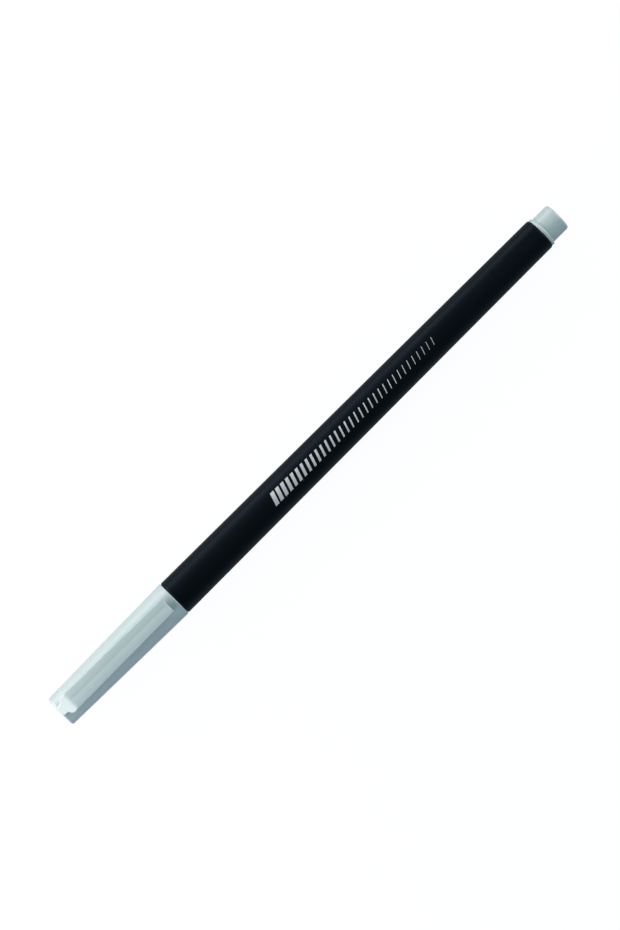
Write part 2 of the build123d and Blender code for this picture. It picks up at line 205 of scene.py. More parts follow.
def tube(grid: Array, ring: bool = False) -> Shell:
    """Closed shell over a grid whose columns join up.

    Each four neighbouring points make a face. A ring joins its last row to its first; any other shell is
    closed by a fan from the middle of each end row.

    Args:
        grid: points, rows by columns by three.
        ring: whether the rows join up too.

    Returns:
        The shell, facing outwards.
    """
    rows, columns = grid.shape[:2]
    lower = np.arange(rows if ring else rows - 1)[:, None] * columns
    upper = (lower + columns) % (rows * columns)
    here = np.arange(columns)[None, :]
    there = (here + 1) % columns
    quads = np.stack([lower + here, lower + there, upper + there, upper + here], axis=2).reshape(-1, 4)
    points = grid.reshape(-1, 3)
    triangles = np.zeros((0, 3), int)
    if not ring:
        first, last = len(points), len(points) + 1
        points = np.concatenate([points, grid[:1].mean(axis=1), grid[-1:].mean(axis=1)])
        near = np.stack([np.full(columns, first), there[0], here[0]], axis=1)
        far_row = (rows - 1) * columns
        far = np.stack([np.full(columns, last), far_row + here[0], far_row + there[0]], axis=1)
        triangles = np.concatenate([near, far])
    return outward(Shell(points, quads, triangles))


def lathe(corners: Sequence[Corner], axis_height: float, ring: bool = True) -> Shell:
    """Shell turned from an outline: a ring round the axis, or a piece that closes on the axis.

    Args:
        corners: corners of the outline in order.
        axis_height: height of the pen's axis.
        ring: whether the outline's last corner joins its first.

    Returns:
        The closed shell.
    """
    return tube(turned(trace(corners, closed=ring), axis_height), ring=ring)


def fin(
    along: Array, inner: float, outer: Array, width: float, angle: float, axis_height: float
) -> Shell:
    """Flat bar along the pen that stands between two radii.

    Its four long edges lie half a width either side of the plane through the axis at the angle t: an edge
    at a distance a across and r out goes to (a cos t + r sin t, r cos t - a sin t).

    Args:
        along: places of the sections along the pen.
        inner: radius of the inner edges.
        outer: radius of the outer edges at each section.
        width: width of the bar.
        angle: angle t of the bar about the axis, from the top.
        axis_height: height of the pen's axis.

    Returns:
        The closed bar.
    """
    across = BAR_ACROSS[None, :] * width
    reach = np.stack([np.full_like(outer, inner), np.full_like(outer, inner), outer, outer], axis=1)
    side = across * np.cos(angle) + reach * np.sin(angle)
    up = axis_height + reach * np.cos(angle) - across * np.sin(angle)
    return tube(np.stack([np.repeat(along[:, None], len(BAR_ACROSS), axis=1), side, up], axis=2))


def angles_round(count: int, offset: float = 0.0) -> Array:
    """Even angles about the axis, from the top, turned by a share of a step."""
    return 2 * np.pi * (np.arange(count) + offset) / count


def outward(shell: Shell) -> Shell:
    """Shell with its faces turned outwards, by the sign of the volume that its triangles enclose.

    Args:
        shell: closed shell that faces either way.

    Returns:
        The same shell, or one with the order of its faces' points reversed.
    """
    split = np.concatenate([shell.quads[:, [0, 1, 2]], shell.quads[:, [0, 2, 3]], shell.triangles])
    corner = shell.points[split]
    volume = np.einsum("ij,ij->i", corner[:, 0], np.cross(corner[:, 1], corner[:, 2])).sum()
    if volume < 0:
        return Shell(shell.points, shell.quads[:, ::-1], shell.triangles[:, ::-1])
    return shell


def make_piece(name: str, shells: Sequence[Shell]) -> bpy.types.Object:
    """Mesh object of one or more closed shells, smooth but for its real edges.

    Args:
        name: name of the piece.
        shells: closed surfaces of the piece.

    Returns:
        The new object, at the origin.
    """
    starts = np.cumsum([0] + [len(shell.points) for shell in shells[:-1]])
    points = np.concatenate([shell.points for shell in shells])
    quads = np.concatenate([shell.quads + start for shell, start in zip(shells, starts)])
    triangles = np.concatenate([shell.triangles + start for shell, start in zip(shells, starts)])
    mesh = bpy.data.meshes.new(name)
    mesh.from_pydata(points.tolist(), [], quads.tolist() + triangles.tolist())
    mesh.polygons.foreach_set("use_smooth", np.ones(len(mesh.polygons), bool))
    mesh.set_sharp_from_angle(angle=SHARP_ANGLE)
    mesh.validate()
    piece = bpy.data.objects.new(name, mesh)
    bpy.context.scene.collection.objects.link(piece)
    return piece


def place(
    piece: bpy.types.Object, body: Body, slot: Slot, material: bpy.types.Material, *nodes: str
) -> None:
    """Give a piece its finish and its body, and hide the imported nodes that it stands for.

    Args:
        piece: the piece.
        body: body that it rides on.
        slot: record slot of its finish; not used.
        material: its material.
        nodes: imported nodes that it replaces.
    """
    piece.data.materials.append(material)
    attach(piece, body.value)
    if nodes:
        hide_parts(*nodes)
    LOG.info("%s: %d faces on %s", piece.name, len(piece.data.polygons), body.value)


# Shader maths


class Signal:
    """Shader value whose arithmetic adds Math nodes."""

    def __init__(self, graph: "Graph", socket: bpy.types.NodeSocket) -> None:
        """Keep the socket and the graph that it belongs to."""
        self.graph = graph
        self.socket = socket

    def __add__(self, other: "Number") -> "Signal":
        """Sum of two values."""
        return self.graph.maths("ADD", self, other)

    def __sub__(self, other: "Number") -> "Signal":
        """Difference of two values."""
        return self.graph.maths("SUBTRACT", self, other)

    def __rsub__(self, other: "Number") -> "Signal":
        """Difference with this value on the right."""
        return self.graph.maths("SUBTRACT", other, self)

    def __mul__(self, other: "Number") -> "Signal":
        """Product of two values."""
        return self.graph.maths("MULTIPLY", self, other)

    def __abs__(self) -> "Signal":
        """Size of a value."""
        return self.graph.maths("ABSOLUTE", self)

    __radd__ = __add__
    __rmul__ = __mul__


Number = Union[float, Signal]


class Graph:
    """Node tree that expressions and calls add nodes to."""

    def __init__(self, tree: bpy.types.NodeTree) -> None:
        """Keep the tree."""
        self.tree = tree

    def node(self, kind: str, settings: dict[str, Any], sockets: dict[str, Any]) -> bpy.types.Node:
        """Add a node: its settings first, then the values or links of its sockets.

        Args:
            kind: type of the node.
            settings: attributes of the node.
            sockets: values, signals or sockets by the input's identifier or name.

        Returns:
            The new node.
        """
        made = self.tree.nodes.new(kind)
        for key, value in settings.items():
            setattr(made, key, value)
        for key, value in sockets.items():
            self.feed(made, key, value)
        return made

    def feed(self, node: bpy.types.Node, key: str, value: Any) -> None:
        """Set or link one input of a node.

        Args:
            node: the node.
            key: identifier or name of the input.
            value: a number, colour or vector, or a signal or socket to link.
        """
        by_identifier = [socket for socket in node.inputs if socket.identifier == key]
        socket = (by_identifier or [node.inputs[key]])[0]
        if isinstance(value, Signal):
            self.tree.links.new(value.socket, socket)
        elif isinstance(value, bpy.types.NodeSocket):
            self.tree.links.new(value, socket)
        else:
            socket.default_value = value

    def maths(self, operation: str, first: Number, second: Number = 0.0) -> Signal:
        """Value of a Math node.

        Args:
            operation: what the node does.
            first: first value.
            second: second value, where the operation has one.

        Returns:
            The result.
        """
        values = {"Value": first, "Value_001": second}
        made = self.node("ShaderNodeMath", {"operation": operation}, values)
        return Signal(self, made.outputs[0])

    def coordinates(self) -> bpy.types.NodeSocket:
        """Object coordinates."""
        return self.node("ShaderNodeTexCoord", {}, {}).outputs["Object"]

    def axes(self) -> tuple[Signal, Signal, Signal]:
        """Object coordinates as three values."""
        split = self.node("ShaderNodeSeparateXYZ", {}, {"Vector": self.coordinates()})
        return tuple(Signal(self, output) for output in split.outputs)

    def noise(self, density: Triple, detail: float = 2.0) -> Signal:
        """Noise from 0 to 1.

        Args:
            density: features a metre along each axis.
            detail: finer layers that are added.

        Returns:
            The noise.
        """
        spread = self.node("ShaderNodeMapping", {}, {"Vector": self.coordinates(), "Scale": density})
        sockets = {"Vector": spread.outputs[0], "Scale": 1.0, "Detail": detail}
        made = self.node("ShaderNodeTexNoise", {}, sockets)
        return Signal(self, made.outputs[0])

    def band(self, value: Number, low: float, high: float) -> Signal:
        """Value brought from low..high to 0..1 and held there.

        Args:
            value: the value.
            low: what becomes 0.
            high: what becomes 1.

        Returns:
            The share.
        """
        sockets = {"Value": value, "From Min": low, "From Max": high, "To Min": 0.0, "To Max": 1.0}
        made = self.node("ShaderNodeMapRange", {"clamp": True}, sockets)
        return Signal(self, made.outputs[0])

    def blend(self, factor: Number, first: Any, second: Any) -> bpy.types.NodeSocket:
        """Colour between two.

        Args:
            factor: share of the second colour.
            first: colour or socket at 0.
            second: colour or socket at 1.

        Returns:
            The blended colour's socket.
        """
        sides = {"Factor_Float": factor, "A_Color": opaque(first), "B_Color": opaque(second)}
        made = self.node("ShaderNodeMix", {"data_type": "RGBA"}, sides)
        return [socket for socket in made.outputs if socket.identifier == "Result_Color"][0]

    def bump(self, height: Signal, depth: float) -> bpy.types.NodeSocket:
        """Normal tilted by a height that spans so many metres."""
        made = self.node("ShaderNodeBump", {}, {"Strength": 1.0, "Distance": depth, "Height": height})
        return made.outputs[0]


class Surface(Graph):
    """Node tree of one new material, with its surface shader and output in place."""

    def __init__(self, name: str) -> None:
        """Start a material.

        Args:
            name: name of the material.
        """
        self.material = bpy.data.materials.new(name)
        self.material.use_nodes = True
        super().__init__(self.material.node_tree)
        self.tree.nodes.clear()
        self.shader = self.node("ShaderNodeBsdfPrincipled", {}, {})
        self.output = self.node("ShaderNodeOutputMaterial", {}, {"Surface": self.shader.outputs["BSDF"]})

    def finish(self, **sockets: Any) -> bpy.types.Material:
        """Feed the surface shader.

        Args:
            sockets: values or links by the input's name, with underscores for its spaces.

        Returns:
            The finished material.
        """
        for key, value in sockets.items():
            self.feed(self.shader, key.replace("_", " "), value)
        return self.material


def opaque(colour: Any) -> Any:
    """Colour with its alpha, or a socket as it is."""
    return (*colour, 1.0) if isinstance(colour, tuple) else colour


# Finishes


@dataclass(frozen=True)
class MouldedPlastic:
    """Satin moulded plastic: draw lines along the pen, eroded grain and a faint parting line."""

    name: str
    colour: Colour
    deeper: Colour
    roughness: float
    axis_height: float
    specular: float = 0.5
    refraction: float = 1.49
    sheen: float = 0.0
    sheen_roughness: float = 0.45
    drift_density: Triple = (70.0, 160.0, 160.0)
    drift_roughness: float = 0.08
    draw_density: Triple = (60.0, 5200.0, 5200.0)
    draw_depth: float = 0.0000016
    draw_relief: float = 0.45
    draw_tone: float = 0.25
    draw_roughness: float = 0.1
    grain_density: Triple = (9000.0, 9000.0, 9000.0)
    grain_depth: float = 0.0000012
    grain_relief: float = 0.55
    parting_half_width: float = 0.00004
    parting_relief: float = 0.5
    parting_tone: float = 0.35
    tone_range: Span = (0.35, 0.95)
    # Clip only: a thin line along the middle of the top, painted lighter as a painted highlight, which
    # fades out where the top leaves its level.
    crest_highlight_half_width: float = 0.0
    crest_highlight_core: float = 0.4
    crest_highlight_level: float = 0.0
    crest_highlight_fade: float = 0.0002
    crest_highlight_lift: float = 1.1

    def material(self) -> bpy.types.Material:
        """Colour drifts a little, roughness follows the draw lines, and the grain tilts the normal.

        Returns:
            The new material.
        """
        graph = Surface(self.name)
        drift = graph.noise(self.drift_density, detail=3.0)
        draw = graph.noise(self.draw_density)
        grain = graph.noise(self.grain_density, detail=1.0)
        _, across, height = graph.axes()
        seam = 1.0 - graph.band(abs(height - self.axis_height), 0.0, self.parting_half_width)
        tone = drift + self.draw_tone * draw - self.parting_tone * seam
        relief = self.grain_relief * grain + self.draw_relief * draw + self.parting_relief * seam
        base = graph.blend(graph.band(tone, *self.tone_range), self.deeper, self.colour)
        # Painted highlight: a thin line along the clip's middle is painted lighter than the plastic, only
        # on its level top.
        if self.crest_highlight_half_width:
            core = self.crest_highlight_core * self.crest_highlight_half_width
            line = 1.0 - graph.band(abs(across), core, self.crest_highlight_half_width)
            level = graph.band(height, self.crest_highlight_level - self.crest_highlight_fade, self.crest_highlight_level)
            base = graph.blend(line * level, base, tuple(self.crest_highlight_lift * part for part in self.colour))
        uneven = self.draw_roughness * (draw - NOISE_MIDDLE) + self.drift_roughness * (drift - NOISE_MIDDLE)
        return graph.finish(
            Base_Color=base,
            Roughness=self.roughness + uneven,
            Normal=graph.bump(relief, self.grain_depth + self.draw_depth),
            IOR=self.refraction,
            Sheen_Weight=self.sheen,
            Sheen_Roughness=self.sheen_roughness,
            Specular_IOR_Level=self.specular,
        )


@dataclass(frozen=True)
class SoftTouchLacquer:
    """Matt black lacquer with a fine sprayed grain and hand-polished patches."""

    name: str
    colour: Colour
    polished: Colour
    roughness: float
    specular: float
    tint: Colour
    polish_density: Triple = (45.0, 260.0, 260.0)
    polish_range: Span = (0.35, 0.75)
    polish_roughness: float = 0.06
    grain_density: Triple = (6500.0, 6500.0, 6500.0)
    grain_depth: float = 0.000004
    grain_roughness: float = 0.06

    def material(self) -> bpy.types.Material:
        """Grain tilts the normal, and polish makes slow patches a little darker and smoother.

        Returns:
            The new material.
        """
        graph = Surface(self.name)
        polish = graph.band(graph.noise(self.polish_density, detail=4.0), *self.polish_range)
        grain = graph.noise(self.grain_density)
        uneven = self.grain_roughness * (grain - NOISE_MIDDLE)
        return graph.finish(
            Base_Color=graph.blend(polish, self.colour, self.polished),
            Roughness=self.roughness - self.polish_roughness * polish + uneven,
            Normal=graph.bump(grain, self.grain_depth),
            Specular_Tint=opaque(self.tint),
            Specular_IOR_Level=self.specular,
        )


@dataclass(frozen=True)
class StampedFoil:
    """Hot-stamped silver foil with thin spots where the lacquer shows."""

    name: str
    colour: Colour
    bare: Colour
    roughness: float
    metal: float = 0.6
    speck_density: Triple = (5200.0, 5200.0, 5200.0)
    speck_range: Span = (0.62, 0.72)
    rub_density: Triple = (220.0, 900.0, 900.0)
    rub_range: Span = (0.55, 0.8)
    rub_roughness: float = 0.2
    worn_range: Span = (0.1, 0.6)

    def material(self) -> bpy.types.Material:
        """Pinholes and rubbed patches turn the foil from metal to bare lacquer.

        Returns:
            The new material.
        """
        graph = Surface(self.name)
        specks = graph.band(graph.noise(self.speck_density), *self.speck_range)
        rubbed = graph.band(graph.noise(self.rub_density, detail=3.0), *self.rub_range)
        worn = graph.band(specks * rubbed, *self.worn_range)
        return graph.finish(
            Base_Color=graph.blend(worn, self.colour, self.bare),
            Metallic=self.metal * (1.0 - worn),
            Roughness=self.roughness + self.rub_roughness * rubbed,
        )


@dataclass(frozen=True)
class DrawnMetal:
    """Drawn tube, with fine lines along the draw."""

    name: str
    colour: Colour
    darker: Colour
    roughness: float
    line_density: Triple = (220.0, 26000.0, 26000.0)
    line_depth: float = 0.0000008
    line_roughness: float = 0.18

    def material(self) -> bpy.types.Material:
        """Draw lines change the tone and the roughness together.

        Returns:
            The new material.
        """
        graph = Surface(self.name)
        lines = graph.noise(self.line_density)
        return graph.finish(
            Base_Color=graph.blend(lines, self.darker, self.colour),
            Metallic=1.0,
            Roughness=self.roughness + self.line_roughness * (lines - NOISE_MIDDLE),
            Normal=graph.bump(lines, self.line_depth),
        )


@dataclass(frozen=True)
class InkedFibre:
    """Bundled fibre soaked with ink."""

    name: str
    colour: Colour
    dry: Colour
    roughness: float = 0.55
    dry_roughness: float = 0.35
    dry_range: Span = (0.45, 0.85)
    strand_density: Triple = (300.0, 9000.0, 9000.0)
    strand_depth: float = 0.00003

    def material(self) -> bpy.types.Material:
        """Strands run along the pen, and the drier ones are paler and rougher.

        Returns:
            The new material.
        """
        graph = Surface(self.name)
        strands = graph.noise(self.strand_density, detail=3.0)
        dryness = graph.band(strands, *self.dry_range)
        return graph.finish(
            Base_Color=graph.blend(dryness, self.colour, self.dry),
            Roughness=self.roughness + self.dry_roughness * dryness,
            Normal=graph.bump(strands, self.strand_depth),
        )


@dataclass(frozen=True)
class ClearFilm:
    """Thin clear wrap with a slight haze."""

    name: str
    colour: Colour
    alpha: float
    roughness: float = 0.1
    haze_density: Triple = (120.0, 500.0, 500.0)
    haze_roughness: float = 0.25
    haze_alpha: float = 0.1

    def material(self) -> bpy.types.Material:
        """Haze makes slow patches rougher and less clear.

        Returns:
            The new material.
        """
        graph = Surface(self.name)
        haze = graph.noise(self.haze_density, detail=3.0)
        return graph.finish(
            Base_Color=graph.blend(haze, self.colour, WHITE),
            Roughness=self.roughness + self.haze_roughness * haze,
            Alpha=self.alpha + self.haze_alpha * haze,
        )


# Pen


@dataclass(frozen=True)
class Stations:
    """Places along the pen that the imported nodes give."""

    axis_height: float
    cap_end: float
    mouth: float
    tail: float
    post_end: float

    @staticmethod
    def measured() -> "Stations":
        """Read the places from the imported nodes' boxes.

        Returns:
            The places.
        """
        cap_low, cap_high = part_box("cap_shell")
        barrel_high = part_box("barrel")[1]
        plug_low, plug_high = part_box("end_plug")
        return Stations((plug_low.z + plug_high.z) / 2, cap_low.x, cap_high.x, barrel_high.x, plug_high.x)


@dataclass
class Barrel:
    """Long tapered tube, with the seats for the grip section and the end plug."""

    stations: Stations
    front_radius: float = 0.0047
    tail_radius: float = 0.0042
    end_rounding: float = 0.0005
    front_seat: Stretch = Stretch(0.0035, 0.012)
    rear_seat: Stretch = Stretch(0.00315, 0.008)
    stop: float = 0.0001
    rib_count: int = 6
    rib_width: float = 0.0007
    rib_length: float = 0.06
    store_radius: float = 0.00298
    embed: float = 0.0002

    def radius_at(self, along: Array) -> Array:
        """Outer radius, which falls evenly from the front to the tail."""
        share = (along - self.stations.mouth) / (self.stations.tail - self.stations.mouth)
        return self.front_radius + (self.tail_radius - self.front_radius) * share

    def build(self, finish: SoftTouchLacquer) -> None:
        """Turn the tube, set the ribs in it and dress both.

        Args:
            finish: finish of the barrel.
        """
        start, end = self.stations.mouth, self.stations.tail
        front, rear = self.front_seat, self.rear_seat
        shell = lathe([
            Corner(start, self.front_radius, self.end_rounding),
            Corner(end, self.tail_radius, self.end_rounding),
            Corner(end, rear.radius),
            Corner(end - rear.length, rear.radius),
            Corner(start + front.length, front.radius - self.stop),
            Corner(start + front.length, front.radius),
            Corner(start, front.radius),
        ], self.stations.axis_height)
        material = finish.material()
        place(make_piece("barrel_tube", [shell]), Body.PEN, Slot.SOFT_TOUCH, material, "barrel")
        ribs = [self.rib(angle) for angle in angles_round(self.rib_count)]
        place(make_piece("barrel_ribs", ribs), Body.PEN, Slot.SOFT_TOUCH, material)

    def rib(self, angle: float) -> Shell:
        """One rib, which centres the ink store, set a little into the wall of the tapering bore.

        Args:
            angle: angle of the rib about the axis, from the top.

        Returns:
            The closed rib.
        """
        front, rear = self.front_seat, self.rear_seat
        bore_start, bore_end = self.stations.mouth + front.length, self.stations.tail - rear.length
        along = np.linspace(bore_start, bore_start + self.rib_length, RIB_SECTIONS)
        wall = np.interp(along, [bore_start, bore_end], [front.radius - self.stop, rear.radius])
        outer = wall + self.embed
        return fin(along, self.store_radius, outer, self.rib_width, angle, self.stations.axis_height)


@dataclass
class FoilStrokes:
    """Row of slanted foil strokes on the barrel, from tall and bold to low and hairline."""

    barrel: Barrel
    start: float = -0.0118
    end: float = 0.0404
    count: int = 34
    boldest: float = 0.0011
    finest: float = 0.00014
    tallest: float = 0.0032
    lowest: float = 0.0019
    lean_share: float = 0.32
    thickness: float = 0.000015
    rows: int = 16

    def build(self, finish: StampedFoil) -> None:
        """Lay each stroke on the barrel's cone and dress them together.

        Args:
            finish: finish of the strokes.
        """
        steps = np.linspace(0.0, 1.0, self.count)
        widths = self.boldest * (self.finest / self.boldest) ** steps
        heights = self.tallest + (self.lowest - self.tallest) * steps
        middles = self.start + (self.end - self.start) * steps
        shells = [self.stroke(*sizes) for sizes in zip(middles, widths, heights)]
        place(make_piece("foil_strokes", shells), Body.PEN, Slot.FOIL, finish.material())

    def stroke(self, middle: float, width: float, height: float) -> Shell:
        """One stroke: a flat four-sided band whose rows climb round the barrel and lean along it.

        A row at height h above the middle line sits at the angle h / radius from the top of the barrel, and
        its four corners lie at half the width either way, just under and just over the lacquer.

        Args:
            middle: place of the stroke along the pen.
            width: width of the stroke along the pen.
            height: height of the stroke round the barrel.

        Returns:
            The closed stroke.
        """
        climb = np.linspace(-0.5, 0.5, self.rows)[:, None] * height
        lean = climb * self.lean_share
        along = middle + lean + BAR_ACROSS[None, :] * width
        lift = BAR_UP[None, :] * self.thickness
        surface = self.barrel.radius_at(along)
        angles = climb / surface
        radius = surface + lift
        axis = self.barrel.stations.axis_height
        return tube(np.stack([along, radius * np.sin(angles), axis + radius * np.cos(angles)], axis=2))


@dataclass
class Cap:
    """Cap with its vented end and the ribs that hold the liner."""

    stations: Stations
    end_radius: float = 0.00415
    mouth_radius: float = 0.0048
    end_rounding: float = 0.0005
    mouth_rounding: float = 0.0002
    lead_in: float = 0.0002
    bore: Stretch = Stretch(0.0038, 0.009)
    floor: Stretch = Stretch(0.00315, 0.0012)
    vent_radius: float = 0.0008
    rib_count: int = 6
    rib_width: float = 0.0007
    rib_end: float = 0.0112
    rib_embed: float = 0.0002
    liner_radius: float = 0.00307

    def radius_at(self, along: Array) -> Array:
        """Outer radius of the cap, rounded over at its closed end.

        Args:
            along: places along the pen.

        Returns:
            The radius at each place.
        """
        path = trace([
            Corner(self.stations.cap_end, 0.0),
            Corner(self.stations.cap_end, self.end_radius, self.end_rounding),
            Corner(self.stations.mouth, self.mouth_radius),
        ])
        outline = path[HELD_RUN_POINTS:]
        return np.interp(along, outline[:, 0], outline[:, 1])

    def build(self, finish: MouldedPlastic) -> None:
        """Turn the shell, set the ribs in it and dress both.

        Args:
            finish: finish of the cap.
        """
        start, end = self.stations.cap_end, self.stations.mouth
        bore, floor = self.bore, self.floor
        shell = lathe([
            Corner(start, self.end_radius, self.end_rounding),
            Corner(end, self.mouth_radius, self.mouth_rounding),
            Corner(end, bore.radius + self.lead_in),
            Corner(end - self.lead_in, bore.radius),
            Corner(end - bore.length, bore.radius),
            Corner(start + floor.length, floor.radius),
            Corner(start + floor.length, self.vent_radius),
            Corner(start, self.vent_radius),
        ], self.stations.axis_height)
        material = finish.material()
        place(make_piece("cap_cone", [shell]), Body.CAP, Slot.PALE_PLASTIC, material, "cap_shell")
        ribs = [self.rib(angle) for angle in angles_round(self.rib_count)]
        place(make_piece("cap_ribs", ribs), Body.CAP, Slot.PALE_PLASTIC, material)

    def rib(self, angle: float) -> Shell:
        """One rib, which holds the liner, set a little into the cap's wall.

        Args:
            angle: angle of the rib about the axis, from the top.

        Returns:
            The closed rib.
        """
        bore, floor = self.bore, self.floor
        floor_at, bore_at = self.stations.cap_end + floor.length, self.stations.mouth - bore.length
        along = np.linspace(floor_at, self.stations.cap_end + self.rib_end, RIB_SECTIONS)
        outer = np.interp(along, [floor_at, bore_at], [floor.radius, bore.radius]) + self.rib_embed
        return fin(along, self.liner_radius, outer, self.rib_width, angle, self.stations.axis_height)


@dataclass
class Clip:
    """Spring clip and its bridge: one moulding, parted where the bar bends."""

    cap: Cap
    bridge_length: float = 0.0047
    bridge_setback: float = 0.00005
    bridge_embed: float = 0.0004
    foot_height: float = 0.0004
    slope_length: float = 0.0037
    slope_rounding: float = 0.0035
    neck_width: float = 0.0027
    neck_length: float = 0.0015
    flare_length: float = 0.00085
    root_width: float = 0.005
    tip_width: float = 0.0044
    tip_setback: float = 0.0021
    corner_rounding: float = 0.0004
    edge_rounding: float = 0.00035
    end_rounding: float = 0.0005
    under_rounding: float = 0.00015
    gap: float = 0.0006
    thickness: float = 0.0011
    lobe_radius: float = 0.0095
    lobe_fade: float = 0.00008
    lobe_points: int = 13
    pad_length: float = 0.0032
    pad_lead: float = 0.0012
    pad_rounding: float = 0.0008
    pad_gap: float = 0.0002
    root_fillet: float = 0.00012
    under_points: int = 5
    sections: int = 240
    root_sections: int = 12
    tip_sections: int = 16

    def __post_init__(self) -> None:
        """Work out the places and heights that the outlines share."""
        stations = self.cap.stations
        self.start = stations.cap_end
        self.root = self.start + self.bridge_setback
        self.split = self.start + self.bridge_length
        self.tip = stations.mouth - self.tip_setback
        self.underside = self.cap.mouth_radius + self.gap
        self.top = self.underside + self.thickness
        self.pad = self.cap.mouth_radius + self.pad_gap

    def half_width(self, along: Array) -> Array:
        """Half the width in plan: a narrow neck, a flare and a slow taper to the rounded tip.

        Args:
            along: places along the pen.

        Returns:
            Half the width at each place.
        """
        neck_end = self.start + self.neck_length
        plan = trace([
            Corner(self.root, self.neck_width / 2),
            Corner(neck_end, self.neck_width / 2, self.corner_rounding),
            Corner(neck_end + self.flare_length, self.root_width / 2, self.corner_rounding),
            Corner(self.tip, self.tip_width / 2, self.corner_rounding),
            Corner(self.tip, 0.0),
        ])
        outline = plan[plan[:, 0] < self.tip]
        return np.interp(along, outline[:, 0], outline[:, 1])

    def top_height(self, along: Array) -> Array:
        """Height of the top above the axis: up the slope, level, and rounded over at both ends.

        Args:
            along: places along the pen.

        Returns:
            The height at each place.
        """
        foot = self.cap.end_radius + self.foot_height
        rise = trace([
            Corner(self.root, 0.0),
            Corner(self.root, foot, self.edge_rounding),
            Corner(self.start + self.slope_length, self.top, self.slope_rounding),
            Corner(self.tip, self.top, self.end_rounding),
            Corner(self.tip, 0.0),
        ])
        outline = rise[HELD_RUN_POINTS:-HELD_RUN_POINTS]
        return np.interp(along, outline[:, 0], outline[:, 1])

    def under_height(self, along: Array) -> Array:
        """Height of the underside above the axis, with the pad near the free end.

        Args:
            along: places along the pen.

        Returns:
            The height at each place.
        """
        under = trace([
            Corner(self.split, self.underside),
            Corner(self.tip - self.pad_length, self.underside, self.pad_rounding),
            Corner(self.tip - self.pad_lead, self.pad, self.pad_rounding),
            Corner(self.tip, self.underside),
        ])
        return np.interp(along, under[:, 0], under[:, 1])

    def top_half(self, along: Array) -> tuple[Array, Array]:
        """Right half of each section's top, from the middle to the side wall.

        Each half is a shallow lobe: at a distance d from its crest, which runs half way to the edge's arc,
        it is d squared / (2 lobe radius) lower, so that the two lobes meet in a crease. An arc that starts
        at the lobe's tilt rounds it into the side. The lobes fade out where the top leaves its level.

        Args:
            along: places of the sections, as a column.

        Returns:
            Distances across and heights, a row for each section.
        """
        reach = self.half_width(along) - self.edge_rounding
        high = self.top_height(along)
        level = np.clip((high - self.top) / self.lobe_fade + 1.0, 0.0, 1.0)
        tilt = level * reach / 2 / self.lobe_radius
        share = np.linspace(0.0, 1.0, self.lobe_points)[None, :]
        lobe_across = share * (reach + self.edge_rounding * np.sin(tilt))
        lobe_up = high - level * (lobe_across - reach / 2) ** 2 / (2 * self.lobe_radius)
        turn = tilt + (np.pi / 2 - tilt) * np.linspace(0.0, 1.0, ARC_STEPS + 1)[None, 1:]
        arc_across = reach + self.edge_rounding * np.sin(turn)
        arc_up = lobe_up[:, -1:] - self.edge_rounding * (np.cos(tilt) - np.cos(turn))
        across = np.concatenate([lobe_across, arc_across], axis=1)
        return across, np.concatenate([lobe_up, arc_up], axis=1)

    def build(self, finish: MouldedPlastic) -> None:
        """Sweep the bridge and the bar along the cap, and dress both.

        Args:
            finish: finish of the clip.
        """
        material = finish.material()
        bridge = make_piece("clip_bridge", [self.bridge()])
        place(bridge, Body.CAP, Slot.PALE_PLASTIC, material)
        bar = make_piece("clip_bar", [self.bar()])
        place(bar, Body.CLIP, Slot.PALE_PLASTIC, material, "pocket_clip")

    def bridge(self) -> Shell:
        """Bridge: the clip's section let down on to the cap with a fillet along its foot.

        The fillet is an arc that touches the side wall and the cap's round outside: its centre lies one
        fillet radius out from both. Below it the section closes inside the cap's wall.

        Returns:
            The closed bridge.
        """
        along = self.places(self.root, self.split)
        across, up = self.top_half(along)
        wide = self.half_width(along)
        round_cap = self.cap.radius_at(along)
        fillet = self.root_fillet
        centre_across = wide + fillet
        centre_up = np.sqrt((round_cap + fillet) ** 2 - centre_across ** 2)
        last = np.pi + np.arctan2(centre_up, centre_across)
        angles = np.pi + (last - np.pi) * np.linspace(0.0, 1.0, ARC_STEPS + 1)[None, :]
        foot_across = centre_across + fillet * np.cos(angles)
        foot_up = centre_up + fillet * np.sin(angles)
        inner = round_cap - self.bridge_embed
        share = np.linspace(1.0, 0.0, self.under_points)[None, :]
        under_across = foot_across[:, -1:] * inner / round_cap * share
        under_up = np.sqrt(inner ** 2 - under_across ** 2)
        half_across = np.concatenate([across, foot_across, under_across], axis=1)
        half_up = np.concatenate([up, foot_up, under_up], axis=1)
        return self.swept(along, half_across, half_up)

    def bar(self) -> Shell:
        """Bar: the clip's section with a flat underside, its lower edges just broken.

        Each lower edge is a quarter of a circle of the under rounding.

        Returns:
            The closed bar.
        """
        along = self.places(self.split, self.tip)
        across, up = self.top_half(along)
        wide = self.half_width(along)
        low = self.under_height(along)
        turn = np.linspace(0.0, np.pi / 2, self.under_points)[None, :]
        edge_across = wide - self.under_rounding * (1.0 - np.cos(turn))
        edge_up = low + self.under_rounding * (1.0 - np.sin(turn))
        share = np.linspace(1.0, 0.0, self.under_points)[None, 1:]
        under_across = (wide - self.under_rounding) * share
        under_up = np.broadcast_to(low, under_across.shape)
        half_across = np.concatenate([across, edge_across, under_across], axis=1)
        half_up = np.concatenate([up, edge_up, under_up], axis=1)
        return self.swept(along, half_across, half_up)

    def places(self, first: float, last: float) -> Array:
        """Places of the sections: evenly spaced, and close together near both ends of the clip.

        Args:
            first: place of the first section.
            last: place of the last section.

        Returns:
            The places, as a column.
        """
        root_turn = np.linspace(0.0, np.pi / 2, self.root_sections)
        tip_turn = np.linspace(0.0, np.pi / 2, self.tip_sections)
        near_root = self.root + self.corner_rounding * (1.0 - np.cos(root_turn))
        near_tip = self.tip - self.corner_rounding * (1.0 - np.cos(tip_turn))
        even = np.linspace(self.start, self.tip, self.sections)
        every = np.unique(np.concatenate([near_root, even, near_tip, [first, last]]))
        return every[(every >= first) & (every <= last)][:, None]

